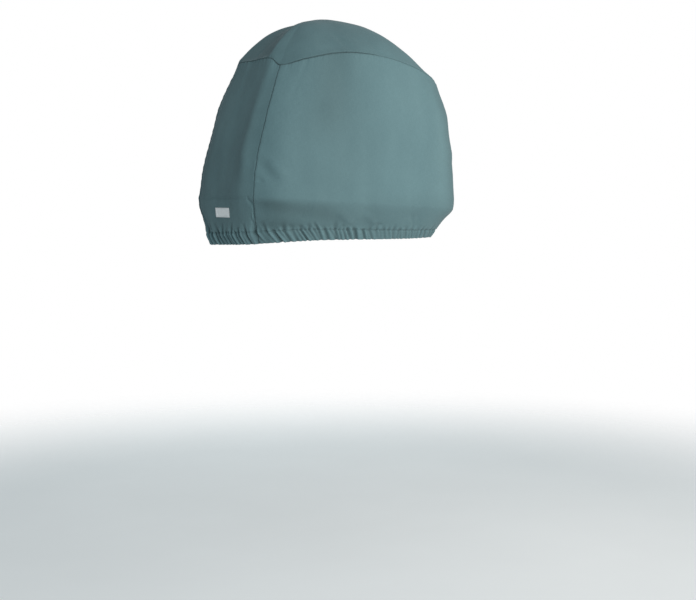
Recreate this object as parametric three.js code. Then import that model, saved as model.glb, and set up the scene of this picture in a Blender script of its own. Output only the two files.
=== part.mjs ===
import * as THREE from 'three';

// Fitted cloth cover for the head of a large outboard motor, as it hangs when it is pulled on.
// +X runs forward, +Y to port and +Z up, in millimetres. Heights below are counted from the
// level of the hem; the group at the end puts the origin under the crest.
// Five panels are sewn edge to edge: a crown, an aft panel, two side panels and a front panel.

const CLOTH = 2.0;
const SEAM_GAP = 0.3;
const RING_STEPS = 720;

// Where the walls pass at eight heights, from the hem up to the crown seam.
// z and x are given at the aft and the front middle; halfWidth is the reach to either side.
// squareAft and squareFront are superellipse powers, so 2 is an ellipse and 5 is nearly a box.
// seamAft and seamFront are the distances of the upright seams from the middle plane.
const LEVELS = [
  { name: 'hem', zAft: 4, zFront: 18, xAft: -350, xFront: 322, halfWidth: 230,
    squareAft: 4.2, squareFront: 3.6, seamAft: 160, seamFront: 150 },
  { name: 'casing', zAft: 38, zFront: 40, xAft: -360, xFront: 338, halfWidth: 240,
    squareAft: 4.3, squareFront: 3.7, seamAft: 166, seamFront: 156 },
  { name: 'tuck', zAft: 86, zFront: 70, xAft: -368, xFront: 358, halfWidth: 254,
    squareAft: 4.6, squareFront: 4.0, seamAft: 174, seamFront: 164 },
  { name: 'fold', zAft: 142, zFront: 102, xAft: -370, xFront: 382, halfWidth: 264,
    squareAft: 4.8, squareFront: 4.2, seamAft: 178, seamFront: 170 },
  { name: 'belly', zAft: 195, zFront: 172, xAft: -366, xFront: 384, halfWidth: 264,
    squareAft: 4.8, squareFront: 4.2, seamAft: 178, seamFront: 172 },
  { name: 'middle', zAft: 325, zFront: 304, xAft: -340, xFront: 379, halfWidth: 255,
    squareAft: 4.4, squareFront: 4.0, seamAft: 174, seamFront: 168 },
  { name: 'shoulder', zAft: 455, zFront: 420, xAft: -297, xFront: 370, halfWidth: 234,
    squareAft: 4.0, squareFront: 4.0, seamAft: 160, seamFront: 154 },
  { name: 'crownSeam', zAft: 560, zFront: 492, xAft: -262, xFront: 351, halfWidth: 206,
    squareAft: 4.0, squareFront: 4.0, seamAft: 144, seamFront: 130 },
];
const TOP_LEVEL = LEVELS.length - 1;

// Positions round the cover: 0 is the aft middle, 1 the aft seam, 2 the front seam and
// 3 the front middle, all on the starboard side; 6 - position is its mirror on the port side.
const HIP = 0.72;

// Height of the crown seam, how far it dips in a point at the aft seam, how full the crown is
// above it (the power of its rise) and how far the crown draws in above the corner.
const CROWN = [
  { at: 0, seamZ: 560, dip: 2, full: 1.85, drawn: 0 },
  { at: HIP, seamZ: 561, dip: 5, full: 2.1, drawn: 0 },
  { at: 1, seamZ: 562, dip: 30, full: 2.5, drawn: 0.12 },
  { at: 1.12, seamZ: 565, dip: 14, full: 2.35, drawn: 0.08 },
  { at: 1.28, seamZ: 573, dip: 0, full: 2.2, drawn: 0.02 },
  { at: 1.42, seamZ: 578, dip: 0, full: 2.15, drawn: 0 },
  { at: 1.62, seamZ: 565, dip: 0, full: 2.1, drawn: 0 },
  { at: 1.8, seamZ: 538, dip: 0, full: 2.05, drawn: 0 },
  { at: 1.9, seamZ: 516, dip: 0, full: 2.0, drawn: 0 },
  { at: 2, seamZ: 498, dip: 0, full: 2.0, drawn: 0 },
  { at: 3, seamZ: 493, dip: 0, full: 2.1, drawn: 0 },
];
const CREST = { x: -12, z: 700 };
const CORNER_REACH = 0.3;

// Gathers along the elastic hem: how many lie between one row and the next going round,
// how deep they are and how high their puckers climb over the casing.
const GATHERS = [
  { at: 0, count: 6, depth: 3.4, top: 72 },
  { at: 1, count: 8, depth: 4.6, top: 80 },
  { at: 1.35, count: 14, depth: 3.8, top: 74 },
  { at: 1.85, count: 4, depth: 1.6, top: 62 },
  { at: 2, count: 10, depth: 0.8, top: 58 },
  { at: 3, count: 10, depth: 1.6, top: 60 },
  { at: 4, count: 4, depth: 0.8, top: 58 },
  { at: 4.15, count: 14, depth: 1.6, top: 62 },
  { at: 4.65, count: 8, depth: 3.8, top: 74 },
  { at: 5, count: 6, depth: 4.6, top: 80 },
  { at: 6, count: 0, depth: 3.4, top: 72 },
];
// Going up, a gather leans back by this share of its pitch for each pitch above the stitch line.
const GATHER_LEAN = 0.42;
const GATHER_PITCH = 30;
const STITCH_Z = 38;
const PUCKER_RISE = 8;
const CASING_HEIGHT = 34;

// Larger folds and soft hollows pressed into the walls: each runs from one place to another,
// a place being a position round the cover and a height. One position is about PLACE_LENGTH.
const PLACE_LENGTH = 370;
const FOLDS = [
  { name: 'port corner fold', fromAt: 5.02, fromZ: 92, toAt: 5.5, toZ: 26, depth: 6, width: 12 },
  { name: 'corner fold', fromAt: 0.93, fromZ: 78, toAt: 0.99, toZ: 36, depth: 3, width: 11 },
  { name: 'starboard hollow', fromAt: 1.5, fromZ: 250, toAt: 1.6, toZ: 430, depth: 4, width: 120 },
  { name: 'port hollow', fromAt: 4.5, fromZ: 250, toAt: 4.4, toZ: 430, depth: 4, width: 120 },
  { name: 'aft hollow', fromAt: 0.1, fromZ: 260, toAt: 0, toZ: 420, depth: 3, width: 90 },
];

const LABEL = { width: 92, height: 31, zMiddle: 96, thick: 1.0, clear: 0.35, columns: 8, rows: 3 };

// Mesh columns between the seams (coarse above, three times as many in the hem) and mesh rows.
const COLUMNS = { aftHip: 6, aftCorner: 3, side: 28, front: 14 };
const FINE = 3;
const HEM_ROWS = [0, 1, 1.28, 1.6, 2];
const WALL_ROWS = [2, 2.5, 3, 3.5, 4, 4.5, 5, 5.5, 6, 6.5, 7];
const CROWN_RINGS = [1, 0.955, 0.88, 0.79, 0.67, 0.53, 0.37, 0.19];
const COARSE_FROM = 0.7;

const V = (x, y, z) => new THREE.Vector3(x, y, z);

function readTable(rows, key, x) {
  let k = 0;
  while (k < rows.length - 2 && x > rows[k + 1].at) {
    k += 1;
  }
  const a = rows[k];
  const b = rows[k + 1];
  const before = rows[Math.max(k - 1, 0)];
  const after = rows[Math.min(k + 2, rows.length - 1)];
  const span = b.at - a.at;
  const t = Math.min(Math.max((x - a.at) / span, 0), 1);
  const slopeA = k === 0 ? 0 : (b[key] - before[key]) / (b.at - before.at);
  const slopeB = k === rows.length - 2 ? 0 : (after[key] - a[key]) / (after.at - a.at);
  const t2 = t * t;
  const t3 = t2 * t;
  return (2 * t3 - 3 * t2 + 1) * a[key] + (t3 - 2 * t2 + t) * span * slopeA
    + (3 * t2 - 2 * t3) * b[key] + (t3 - t2) * span * slopeB;
}

function readStraight(rows, key, x) {
  let k = 0;
  while (k < rows.length - 2 && x > rows[k + 1].at) {
    k += 1;
  }
  const t = Math.min(Math.max((x - rows[k].at) / (rows[k + 1].at - rows[k].at), 0), 1);
  return rows[k][key] + t * (rows[k + 1][key] - rows[k][key]);
}

function interpolate(xs, ys, x) {
  let low = 0;
  let high = xs.length - 1;
  while (high - low > 1) {
    const middle = (low + high) >> 1;
    if (xs[middle] <= x) {
      low = middle;
    } else {
      high = middle;
    }
  }
  const t = Math.min(Math.max((x - xs[low]) / (xs[high] - xs[low]), 0), 1);
  return ys[low] + t * (ys[high] - ys[low]);
}

// One level as a half loop on the starboard side, read by arc length between its seams.
function makeRing(level) {
  const xs = [];
  const ys = [];
  const run = [];
  for (let i = 0; i <= RING_STEPS; i += 1) {
    const angle = (Math.PI * i) / RING_STEPS;
    const c = Math.cos(angle);
    const s = Math.sin(angle);
    const reach = c > 0 ? -level.xAft : level.xFront;
    const power = c > 0 ? level.squareAft : level.squareFront;
    const r = (Math.abs(c / reach) ** power + Math.abs(s / level.halfWidth) ** power) ** (-1 / power);
    xs.push(-r * c);
    ys.push(-r * s);
    run.push(i === 0 ? 0 : run[i - 1] + Math.hypot(xs[i] - xs[i - 1], ys[i] - ys[i - 1]));
  }
  const half = RING_STEPS / 2;
  let aft = 0;
  while (-ys[aft] < level.seamAft && aft < half) {
    aft += 1;
  }
  let front = RING_STEPS;
  while (-ys[front] < level.seamFront && front > half) {
    front -= 1;
  }
  const aftShare = (level.seamAft + ys[aft - 1]) / (ys[aft - 1] - ys[aft]);
  const frontShare = (level.seamFront + ys[front + 1]) / (ys[front + 1] - ys[front]);
  const marks = [
    0,
    run[aft - 1] + aftShare * (run[aft] - run[aft - 1]),
    run[front + 1] - frontShare * (run[front + 1] - run[front]),
    run[RING_STEPS],
  ];
  return { level, xs, ys, run, marks };
}

const RINGS = LEVELS.map(makeRing);

// A point of one level. Position may be anything from 0 to 6 round the cover.
function ringPoint(index, position) {
  const ring = RINGS[index];
  const wrapped = ((position % 6) + 6) % 6;
  const port = wrapped > 3;
  const w = port ? 6 - wrapped : wrapped;
  const along = interpolate([0, 1, 2, 3], ring.marks, w);
  const x = interpolate(ring.run, ring.xs, along);
  const y = interpolate(ring.run, ring.ys, along);
  const share = (x - ring.level.xAft) / (ring.level.xFront - ring.level.xAft);
  let z = ring.level.zAft + share * (ring.level.zFront - ring.level.zAft);
  if (index === TOP_LEVEL) {
    z = readTable(CROWN, 'seamZ', w) - readTable(CROWN, 'dip', w);
  }
  return V(x, port ? -y : y, z);
}

function wallBase(position, height) {
  const k = Math.min(Math.floor(height), TOP_LEVEL - 1);
  const t = height - k;
  const p1 = ringPoint(k, position);
  const p2 = ringPoint(k + 1, position);
  const chord = p2.clone().sub(p1);
  const length = chord.length();
  let start = chord.clone();
  let end = chord.clone();
  if (k > 0) {
    const back = p1.clone().sub(ringPoint(k - 1, position));
    start = back.multiplyScalar(length / back.length()).add(chord).multiplyScalar(0.5);
  }
  if (k < TOP_LEVEL - 1) {
    const on = ringPoint(k + 2, position).sub(p2);
    end = on.multiplyScalar(length / on.length()).add(chord).multiplyScalar(0.5);
  }
  const t2 = t * t;
  const t3 = t2 * t;
  return p1.multiplyScalar(2 * t3 - 3 * t2 + 1).addScaledVector(start, t3 - 2 * t2 + t)
    .addScaledVector(p2, 3 * t2 - 2 * t3).addScaledVector(end, t3 - t2);
}

function smooth(t) {
  const u = Math.min(Math.max(t, 0), 1);
  return u * u * (3 - 2 * u);
}

// The gathers over the hem, deepest just above the stitch line and gone at their top.
function gatherDepth(at, z) {
  let k = 0;
  let before = 0;
  while (k < GATHERS.length - 2 && at > GATHERS[k + 1].at) {
    before += GATHERS[k].count;
    k += 1;
  }
  const share = (at - GATHERS[k].at) / (GATHERS[k + 1].at - GATHERS[k].at);
  const turns = before + share * GATHERS[k].count;
  const lean = (GATHER_LEAN * (z - STITCH_Z)) / GATHER_PITCH;
  const uneven = 1 + 0.3 * Math.sin((Math.PI * at * 5) / 3 + 0.8) * Math.sin((Math.PI * at * 13) / 3);
  const onCasing = 0.6 + 0.3 * smooth((STITCH_Z - z) / CASING_HEIGHT);
  const overCasing = 0.6 + 0.5 * smooth((z - STITCH_Z) / PUCKER_RISE);
  const start = STITCH_Z + PUCKER_RISE;
  const fade = 1 - smooth((z - start) / (readStraight(GATHERS, 'top', at) - start));
  const strength = (z < STITCH_Z ? onCasing : overCasing) * fade * uneven;
  return readStraight(GATHERS, 'depth', at) * strength * Math.sin(2 * Math.PI * (turns + lean));
}

// One fold: a soft trough round the line between its two ends, shallower at the ends.
function foldDepth(fold, at, z) {
  const runX = (fold.toAt - fold.fromAt) * PLACE_LENGTH;
  const runZ = fold.toZ - fold.fromZ;
  const x = (at - fold.fromAt) * PLACE_LENGTH;
  const along = (x * runX + (z - fold.fromZ) * runZ) / (runX * runX + runZ * runZ);
  const on = Math.min(Math.max(along, 0), 1);
  const away = Math.hypot(x - on * runX, z - fold.fromZ - on * runZ);
  const ends = Math.min(1, 0.35 + 4 * Math.min(on, 1 - on));
  return fold.depth * ends * Math.exp(-((away / fold.width) ** 2));
}

// How far the cloth stands off its plain shape.
function standOff(position, z) {
  const at = ((position % 6) + 6) % 6;
  let off = gatherDepth(at, z);
  for (const fold of FOLDS) {
    const near = Math.abs(at - fold.fromAt) > 3 ? at - 6 : at;
    off -= foldDepth(fold, near, z);
  }
  return off;
}

function wallPoint(position, height) {
  const step = 0.004;
  const point = wallBase(position, height);
  const along = wallBase(position + step, height).sub(wallBase(position - step, height));
  const outward = V(along.y, -along.x, 0).normalize();
  return point.addScaledVector(outward, standOff(position, point.z));
}

function crownPoint(position, scale) {
  const wrapped = ((position % 6) + 6) % 6;
  const w = wrapped > 3 ? 6 - wrapped : wrapped;
  const edge = wallPoint(position, TOP_LEVEL);
  const draw = readStraight(CROWN, 'drawn', w) * smooth((1 - scale) / CORNER_REACH);
  const fade = Math.max(0, 1 - (1 - scale) / CORNER_REACH) ** 2;
  const seamZ = readTable(CROWN, 'seamZ', w);
  const rise = 1 - scale ** readTable(CROWN, 'full', w);
  const reach = scale * (1 - draw);
  return V(
    CREST.x + reach * (edge.x - CREST.x),
    reach * edge.y,
    seamZ + (CREST.z - seamZ) * rise - readTable(CROWN, 'dip', w) * fade,
  );
}

function wallNormal(position, height) {
  const step = 0.006;
  const low = Math.max(height - 0.03, 0);
  const high = Math.min(height + 0.03, TOP_LEVEL);
  const along = wallPoint(position + step, height).sub(wallPoint(position - step, height));
  const up = wallPoint(position, high).sub(wallPoint(position, low));
  return along.cross(up).normalize();
}

function crownNormal(position, scale) {
  const step = 0.006;
  const outer = Math.min(scale + 0.012, 1);
  const along = crownPoint(position + step, scale).sub(crownPoint(position - step, scale));
  const inward = crownPoint(position, scale - 0.012).sub(crownPoint(position, outer));
  return along.cross(inward).normalize();
}

// The seam between the walls and the crown is mitred, so that neither sheet enters the other.
function crownSeam(position) {
  const step = 0.006;
  const point = wallPoint(position, TOP_LEVEL);
  const wall = wallNormal(position, TOP_LEVEL);
  const crown = crownNormal(position, 1);
  const run = wallPoint(position + step, TOP_LEVEL).sub(wallPoint(position - step, TOP_LEVEL)).normalize();
  const down = run.clone().cross(wall);
  const inward = crown.clone().cross(run);
  const across = down.sub(inward).normalize();
  const inset = wall.clone().add(crown).multiplyScalar(CLOTH / (1 + wall.dot(crown)));
  return { point, across, inset, run };
}

function wallVertex(position, height, sideShift) {
  const step = 0.006;
  const along = wallPoint(position + step, height).sub(wallPoint(position - step, height)).normalize();
  const shift = along.multiplyScalar((sideShift * SEAM_GAP) / 2);
  if (height >= TOP_LEVEL) {
    const seam = crownSeam(position);
    const outer = seam.point.clone().addScaledVector(seam.across, SEAM_GAP / 2).add(shift);
    return { outer, inner: outer.clone().sub(seam.inset) };
  }
  const outer = wallPoint(position, height).add(shift);
  return { outer, inner: outer.clone().addScaledVector(wallNormal(position, height), -CLOTH) };
}

function crownVertex(position, scale) {
  if (scale >= 1) {
    const seam = crownSeam(position);
    const outer = seam.point.clone().addScaledVector(seam.across, -SEAM_GAP / 2);
    return { outer, inner: outer.clone().sub(seam.inset) };
  }
  const outer = crownPoint(position, scale);
  return { outer, inner: outer.clone().addScaledVector(crownNormal(position, scale), -CLOTH) };
}

// Joins two rows of vertex numbers whose places along the row run from low to high.
function joinRows(faces, low, high) {
  let i = 0;
  let j = 0;
  while (i < low.ids.length - 1 || j < high.ids.length - 1) {
    const nextLow = i < low.ids.length - 1 ? low.at[i + 1] : Infinity;
    const nextHigh = j < high.ids.length - 1 ? high.at[j + 1] : Infinity;
    if (nextLow <= nextHigh + 1e-9) {
      faces.push([low.ids[i], low.ids[i + 1], high.ids[j]]);
      i += 1;
    } else {
      faces.push([low.ids[i], high.ids[j + 1], high.ids[j]]);
      j += 1;
    }
  }
}

function addMesh(group, name, points, faces, color) {
  const geometry = new THREE.BufferGeometry();
  const numbers = points.flatMap((p) => [p.x, p.y, p.z]);
  geometry.setAttribute('position', new THREE.Float32BufferAttribute(numbers, 3));
  geometry.setIndex(faces.flat());
  geometry.computeVertexNormals();
  const material = new THREE.MeshStandardMaterial({ color, roughness: 0.85, side: THREE.DoubleSide });
  const mesh = new THREE.Mesh(geometry, material);
  mesh.name = name;
  group.add(mesh);
}

// A sheet from rows of vertices: an outer face, an inner face and a rim round its open edges.
function sheetFromRows(rows, closedRound, apex) {
  const points = [];
  const outer = [];
  const inner = [];
  for (const row of rows) {
    const out = [];
    const into = [];
    for (const vertex of row.vertices) {
      out.push(points.push(vertex.outer) - 1);
      into.push(points.push(vertex.inner) - 1);
    }
    if (closedRound) {
      out.push(out[0]);
      into.push(into[0]);
    }
    outer.push({ at: row.at, ids: out });
    inner.push({ at: row.at, ids: into });
  }
  const faces = [];
  for (let r = 0; r < rows.length - 1; r += 1) {
    const under = [];
    joinRows(faces, outer[r], outer[r + 1]);
    joinRows(under, inner[r], inner[r + 1]);
    for (const [a, b, c] of under) {
      faces.push([a, c, b]);
    }
  }
  // Two sheets that meet at a seam split their rims along the same diagonals.
  const rim = (out, into) => {
    for (let i = 0; i < out.length - 1; i += 1) {
      faces.push([into[i], into[i + 1], out[i + 1]], [into[i], out[i + 1], out[i]]);
    }
  };
  const rimBack = (out, into) => {
    for (let i = out.length - 1; i > 0; i -= 1) {
      faces.push([into[i], into[i - 1], out[i]], [into[i - 1], out[i - 1], out[i]]);
    }
  };
  rim(outer[0].ids, inner[0].ids);
  const last = rows.length - 1;
  if (apex) {
    const top = points.push(apex.outer) - 1;
    const under = points.push(apex.inner) - 1;
    for (let i = 0; i < outer[last].ids.length - 1; i += 1) {
      faces.push([outer[last].ids[i], outer[last].ids[i + 1], top]);
      faces.push([inner[last].ids[i + 1], inner[last].ids[i], under]);
    }
  } else {
    rimBack(outer[last].ids, inner[last].ids);
  }
  if (!closedRound) {
    rimBack(outer.map((row) => row.ids[0]), inner.map((row) => row.ids[0]));
    rim(outer.map((row) => row.ids.at(-1)), inner.map((row) => row.ids.at(-1)));
  }
  return { points, faces };
}

function refine(positions) {
  const fine = [];
  for (let i = 0; i < positions.length - 1; i += 1) {
    for (let f = 0; f < FINE; f += 1) {
      fine.push(positions[i] + ((positions[i + 1] - positions[i]) * f) / FINE);
    }
  }
  fine.push(positions.at(-1));
  return fine;
}

function wallPanel(group, name, positions, color) {
  const row = (places, height) => ({
    at: places,
    vertices: places.map((place, i) => {
      const sideShift = i === 0 ? 1 : i === places.length - 1 ? -1 : 0;
      return wallVertex(place, height, sideShift);
    }),
  });
  const fine = refine(positions);
  const rows = HEM_ROWS.map((height) => row(fine, height));
  for (const height of WALL_ROWS.slice(1)) {
    rows.push(row(positions, height));
  }
  const sheet = sheetFromRows(rows, false, null);
  addMesh(group, name, sheet.points, sheet.faces, color);
}

function steps(from, to, count) {
  return Array.from({ length: count + 1 }, (_, i) => from + ((to - from) * i) / count);
}

const aftHalf = [...steps(0, HIP, COLUMNS.aftHip), ...steps(HIP, 1, COLUMNS.aftCorner).slice(1)];
const aftPlaces = [...aftHalf.map((w) => 6 - w).reverse().slice(0, -1), ...aftHalf.map((w) => 6 + w)];
const sidePlaces = steps(1, 2, COLUMNS.side);
const frontPlaces = steps(2, 4, COLUMNS.front);
const portPlaces = steps(4, 5, COLUMNS.side);

const group = new THREE.Group();

const roundPlaces = [...aftHalf, ...sidePlaces.slice(1), ...frontPlaces.slice(1), ...portPlaces.slice(1),
  ...aftPlaces.slice(1, aftHalf.length - 1)];
const crownRows = CROWN_RINGS.map((scale) => {
  const places = scale > COARSE_FROM ? roundPlaces : roundPlaces.filter((_, i) => i % 2 === 0);
  return { at: [...places, 6], vertices: places.map((place) => crownVertex(place, scale)) };
});
const apexOuter = V(CREST.x, 0, CREST.z);
const crown = sheetFromRows(crownRows, true, { outer: apexOuter, inner: V(CREST.x, 0, CREST.z - CLOTH) });
addMesh(group, 'crown_panel', crown.points, crown.faces, 0x64878d);

wallPanel(group, 'aft_panel', aftPlaces, 0x4f7178);
wallPanel(group, 'starboard_panel', sidePlaces, 0x6d9096);
wallPanel(group, 'port_panel', portPlaces, 0x6d9096);
wallPanel(group, 'front_panel', frontPlaces, 0x648890);

// The label lies on the aft panel, over the gathers, and follows its curve.
const [casing, tuck, fold] = LEVELS.slice(1);
const reach = RINGS[2].marks[1];
const labelLow = LABEL.zMiddle - LABEL.height / 2;
const labelRows = steps(labelLow, labelLow + LABEL.height, LABEL.rows).map((z) => {
  const height = z < tuck.zAft ? 1 + (z - casing.zAft) / (tuck.zAft - casing.zAft)
    : 2 + (z - tuck.zAft) / (fold.zAft - tuck.zAft);
  const places = steps(-LABEL.width / 2 / reach, LABEL.width / 2 / reach, LABEL.columns);
  return {
    at: places,
    vertices: places.map((place) => {
      const base = wallPoint(place, height);
      const outward = wallNormal(place, height);
      return {
        outer: base.clone().addScaledVector(outward, LABEL.clear + LABEL.thick),
        inner: base.clone().addScaledVector(outward, LABEL.clear),
      };
    }),
  };
});
const label = sheetFromRows(labelRows, false, null);
addMesh(group, 'label', label.points, label.faces, 0xe9ece8);

// The part's origin is where the motor's head bears on the cloth, under the crest.
group.position.set(-CREST.x, 0, CLOTH - CREST.z);

export default group;
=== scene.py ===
import math

import bpy
import numpy as np
from mathutils import Matrix, Vector


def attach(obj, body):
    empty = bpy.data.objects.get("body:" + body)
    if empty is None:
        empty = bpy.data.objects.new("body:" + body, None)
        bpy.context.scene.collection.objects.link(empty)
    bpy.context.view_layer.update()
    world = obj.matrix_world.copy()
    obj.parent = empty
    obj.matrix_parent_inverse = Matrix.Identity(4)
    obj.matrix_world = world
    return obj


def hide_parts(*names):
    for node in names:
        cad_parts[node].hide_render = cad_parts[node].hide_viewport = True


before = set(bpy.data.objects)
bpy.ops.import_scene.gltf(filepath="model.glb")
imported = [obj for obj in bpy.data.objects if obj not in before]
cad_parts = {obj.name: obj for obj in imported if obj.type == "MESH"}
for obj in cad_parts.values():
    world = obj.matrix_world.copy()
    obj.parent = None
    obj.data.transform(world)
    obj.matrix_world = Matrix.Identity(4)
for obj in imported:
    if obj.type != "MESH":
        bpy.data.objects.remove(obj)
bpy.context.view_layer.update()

# The aft panel, which hangs over the aft end of the motor's head. It is one piece of coated
# canvas, cut to the pattern that all the panels share, sewn to its neighbours along three edges
# and turned up along the fourth as a casing for the elastic. The pattern is drawn as rings at
# eight heights, in millimetres above the hem, with +X forward from the middle of the cover.
LEVELS = [
    dict(z_aft=4, z_front=18, x_aft=-350, x_front=322, half_width=230,
         square_aft=4.2, square_front=3.6, seam_aft=160, seam_front=150),
    dict(z_aft=38, z_front=40, x_aft=-360, x_front=338, half_width=240,
         square_aft=4.3, square_front=3.7, seam_aft=166, seam_front=156),
    dict(z_aft=86, z_front=70, x_aft=-368, x_front=358, half_width=254,
         square_aft=4.6, square_front=4.0, seam_aft=174, seam_front=164),
    dict(z_aft=142, z_front=102, x_aft=-370, x_front=382, half_width=264,
         square_aft=4.8, square_front=4.2, seam_aft=178, seam_front=170),
    dict(z_aft=195, z_front=172, x_aft=-366, x_front=384, half_width=264,
         square_aft=4.8, square_front=4.2, seam_aft=178, seam_front=172),
    dict(z_aft=325, z_front=304, x_aft=-340, x_front=379, half_width=255,
         square_aft=4.4, square_front=4.0, seam_aft=174, seam_front=168),
    dict(z_aft=455, z_front=420, x_aft=-297, x_front=370, half_width=234,
         square_aft=4.0, square_front=4.0, seam_aft=160, seam_front=154),
    dict(z_aft=560, z_front=492, x_aft=-262, x_front=351, half_width=206,
         square_aft=4.0, square_front=4.0, seam_aft=144, seam_front=130),
]
STITCH, FOLD, TOP = 1, 3, 7
RING_STEPS = 7200

# Places round the cover count from 0 at the aft middle, over 1 at the aft seam and 2 at the
# front seam of the starboard side, to 3 at the front middle and back on the port side to 6.
# The crown seam has its own heights. It dips to a point at the aft seam.
HIP = 0.72
CROWN = [
    dict(at=0, seam_z=560, dip=2, full=1.85, drawn=0),
    dict(at=HIP, seam_z=561, dip=5, full=2.1, drawn=0),
    dict(at=1, seam_z=562, dip=30, full=2.5, drawn=0.12),
    dict(at=1.12, seam_z=565, dip=14, full=2.35, drawn=0.08),
    dict(at=1.28, seam_z=573, dip=0, full=2.2, drawn=0.02),
    dict(at=1.42, seam_z=578, dip=0, full=2.15, drawn=0),
    dict(at=1.62, seam_z=565, dip=0, full=2.1, drawn=0),
    dict(at=1.8, seam_z=538, dip=0, full=2.05, drawn=0),
    dict(at=1.9, seam_z=516, dip=0, full=2.0, drawn=0),
    dict(at=2, seam_z=498, dip=0, full=2.0, drawn=0),
    dict(at=3, seam_z=493, dip=0, full=2.1, drawn=0),
]
CREST_X, CREST_Z, CREST_CLOTH = -12, 700, 2

# The elastic gathers: how many lie between one place and the next, how deep they are and how
# high they climb. Going up, each leans back by a share of its pitch.
GATHERS = [
    dict(at=0, count=6, depth=3.4, top=72),
    dict(at=1, count=8, depth=4.6, top=80),
    dict(at=1.35, count=14, depth=3.8, top=74),
    dict(at=1.85, count=4, depth=1.6, top=62),
    dict(at=2, count=10, depth=0.8, top=58),
    dict(at=3, count=10, depth=1.6, top=60),
    dict(at=4, count=4, depth=0.8, top=58),
    dict(at=4.15, count=14, depth=1.6, top=62),
    dict(at=4.65, count=8, depth=3.8, top=74),
    dict(at=5, count=6, depth=4.6, top=80),
    dict(at=6, count=0, depth=3.4, top=72),
]
GATHER_LEAN, GATHER_PITCH = 0.42, 30
STITCH_Z, CASING_HEIGHT = 38, 34

# Folds and soft hollows, each between two spots given as a place and a height, swelling outwards
# where its depth is below 0. From one whole place to the next is about 370 mm.
PLACE_LENGTH = 370
FOLDS = [
    dict(start=(5.02, 92), end=(5.5, 26), depth=6, width=12),  # port corner fold
    dict(start=(0.93, 78), end=(0.99, 36), depth=3, width=11),  # corner fold
    dict(start=(1.5, 250), end=(1.6, 430), depth=4, width=120),  # starboard hollow
    dict(start=(4.5, 250), end=(4.4, 430), depth=4, width=120),  # port hollow
    dict(start=(0.1, 260), end=(0, 420), depth=3, width=90),  # aft hollow
]


def smooth(t):
    u = np.clip(t, 0, 1)
    return u * u * (3 - 2 * u)


def hump(away, width):
    """1 on a line, falling away smoothly on both sides of it."""
    return np.exp(-((away / width) ** 2))


def between(t, first, leaving, last, arriving):
    """A cubic from a first value to a last, with the slopes that it has at both."""
    return ((2 * t**3 - 3 * t**2 + 1) * first + (t**3 - 2 * t**2 + t) * leaving
            + (3 * t**2 - 2 * t**3) * last + (t**3 - t**2) * arriving)


def read_table(rows, key, x):
    """A smooth curve through one column of a table, level at both ends."""
    at = np.array([row["at"] for row in rows], float)
    value = np.array([row[key] for row in rows], float)
    slope = np.zeros(len(rows))
    slope[1:-1] = (value[2:] - value[:-2]) / (at[2:] - at[:-2])
    k = np.clip(np.searchsorted(at, x, side="right") - 1, 0, len(rows) - 2)
    span = at[k + 1] - at[k]
    t = np.clip((x - at[k]) / span, 0, 1)
    return between(t, value[k], span * slope[k], value[k + 1], span * slope[k + 1])


def read_straight(rows, key, x):
    return np.interp(x, [row["at"] for row in rows], [row[key] for row in rows])


def ring_of(level):
    """One level as a half loop on the starboard side, with the runs of its two seams."""
    angle = np.linspace(0, np.pi, RING_STEPS + 1)
    c, s = np.cos(angle), np.sin(angle)
    reach = np.where(c > 0, -level["x_aft"], level["x_front"])
    power = np.where(c > 0, level["square_aft"], level["square_front"])
    r = ((np.abs(c) / reach) ** power + (np.abs(s) / level["half_width"]) ** power) ** (-1 / power)
    x, y = -r * c, -r * s
    run = np.concatenate([[0], np.cumsum(np.hypot(np.diff(x), np.diff(y)))])
    half = RING_STEPS // 2
    aft = np.interp(level["seam_aft"], -y[:half], run[:half])
    front = np.interp(level["seam_front"], -y[:half:-1], run[:half:-1])
    return dict(level, x=x, y=y, run=run, marks=[0, aft, front, run[-1]])


RINGS = [ring_of(level) for level in LEVELS]


def fold_back(at):
    """A place as its mirror on the starboard side, and 1 if it lies to port or -1 if not."""
    wrapped = np.mod(at, 6)
    return np.where(wrapped > 3, 6 - wrapped, wrapped), np.where(wrapped > 3, 1, -1)


def ring_points(index, at):
    ring = RINGS[index]
    near, side = fold_back(at)
    run = np.interp(near, [0, 1, 2, 3], ring["marks"])
    x = np.interp(run, ring["run"], ring["x"])
    y = -np.interp(run, ring["run"], ring["y"]) * side
    share = (x - ring["x_aft"]) / (ring["x_front"] - ring["x_aft"])
    z = ring["z_aft"] + share * (ring["z_front"] - ring["z_aft"])
    if index == TOP:
        z = read_table(CROWN, "seam_z", near) - read_table(CROWN, "dip", near)
    return np.stack([x, y, z], -1)


def size_of(vectors):
    return np.maximum(np.linalg.norm(vectors, axis=-1, keepdims=True), 1e-9)


def wall_base(at, heights):
    """The plain wall, one row of points for each height, which counts levels from the hem."""
    rings = [ring_points(k, at) for k in range(TOP + 1)]
    rows = []
    for height in heights:
        k = min(int(height), TOP - 1)
        t = height - k
        p1, p2 = rings[k], rings[k + 1]
        chord = p2 - p1
        start = end = chord
        if k > 0:
            back = p1 - rings[k - 1]
            start = (back * size_of(chord) / size_of(back) + chord) / 2
        if k < TOP - 1:
            on = rings[k + 2] - p2
            end = (on * size_of(chord) / size_of(on) + chord) / 2
        rows.append(between(t, p1, start, p2, end))
    return np.array(rows)


def gather_turns(at, z):
    """The number of the gather at a place, counted from the aft middle."""
    counts = [row["count"] for row in GATHERS[:-1]]
    starts = [row["at"] for row in GATHERS]
    turned = np.concatenate([[0], np.cumsum(counts)])
    return np.interp(at, starts, turned) + GATHER_LEAN * (z - STITCH_Z) / GATHER_PITCH


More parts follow.
